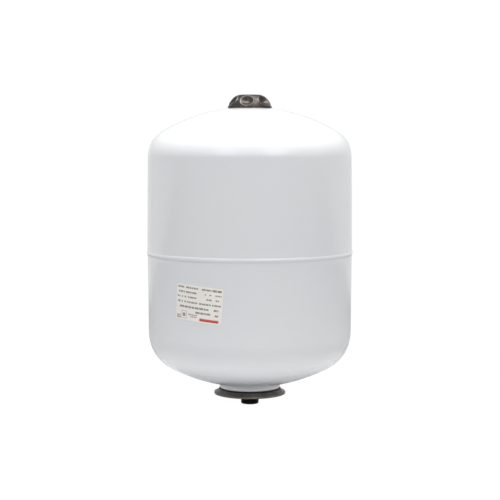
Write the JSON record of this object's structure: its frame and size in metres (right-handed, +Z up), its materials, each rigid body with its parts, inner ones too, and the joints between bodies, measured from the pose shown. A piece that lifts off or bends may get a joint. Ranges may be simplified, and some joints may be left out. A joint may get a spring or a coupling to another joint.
{
  "type": "expansion vessel",
  "caption": "Upright round steel pressure vessel with a replaceable rubber bladder, a bolted counter flange with a threaded water nipple below, and an air valve under a screwed cover on top.",
  "frame": {"origin": "on the vessel's axis at the lower end of the water nipple, the object's lowest point", "axes": "+Z up along the vessel's axis from the water nipple to the air valve; -Y towards the front, +X to the right seen from the front"},
  "size_m": [0.3021, 0.302, 0.4539],
  "materials": {
    "white_paint": "glossy light grey white enamel with slight orange peel",
    "painted_weld": "rippled weld bead under glossy enamel",
    "bladder_rubber": "moulded black rubber, matt with a faint bloom",
    "plated_flange": "dull zinc plating, warm grey, faintly cloudy",
    "dark_steel": "oiled dark steel with a cut thread",
    "bare_weld": "heat tinted weld ripple",
    "plated_bolt": "zinc plated, satin",
    "turned_steel": "turned bright steel",
    "seal_rubber": "smooth black rubber",
    "brass": "turned brass",
    "core_seal_ring": "smooth red seal ring",
    "spring_steel": "drawn spring wire",
    "dark_cover": "warm dark grey satin metallic",
    "label_film": "off-white satin film with plain grey printed bars"
  },
  "bodies": {
    "vessel": {"upper_shell": "white_paint", "lower_shell": "white_paint", "seam_weld": "painted_weld", "neck_ring": "white_paint", "neck_weld": "painted_weld", "bladder": "bladder_rubber", "counter_flange": "plated_flange", "water_nipple": "dark_steel", "nipple_weld": "bare_weld", "flange_bolts": "plated_bolt", "valve_boss": "turned_steel", "boss_weld": "bare_weld", "valve_seal": "seal_rubber", "valve_stem": "brass", "core_body": "brass", "core_seal": "core_seal_ring", "core_spring": "spring_steel", "rating_label": "label_film"},
    "cover_seal": {"cover_washer": "seal_rubber"},
    "cover": {"valve_cover": "dark_cover", "cover_insert": "brass"},
    "valve_pin": {"core_pin": "brass", "poppet_seal": "seal_rubber"}
  },
  "joints": [
    {"name": "cover_turn", "type": "hinge", "parent": "cover_seal", "child": "cover", "pos_m": [0, 0, 0.44], "axis": [0, 0, 1], "range_deg": [0, 1080]},
    {"name": "cover_lift", "type": "slide", "parent": "vessel", "child": "cover_seal", "axis": [0, 0, 1], "range_m": [0, 0.00545]},
    {"name": "pin_press", "type": "slide", "parent": "vessel", "child": "valve_pin", "axis": [0, 0, 1], "range_m": [-0.0015, 0], "stiffness_N_per_m": 400, "springref_m": 0.002, "deforming": ["core_spring"]}
  ],
  "couplings": [
    {"joint": "cover_lift", "follows": "cover_turn", "m_per_rad": 0.00028871}
  ]
}
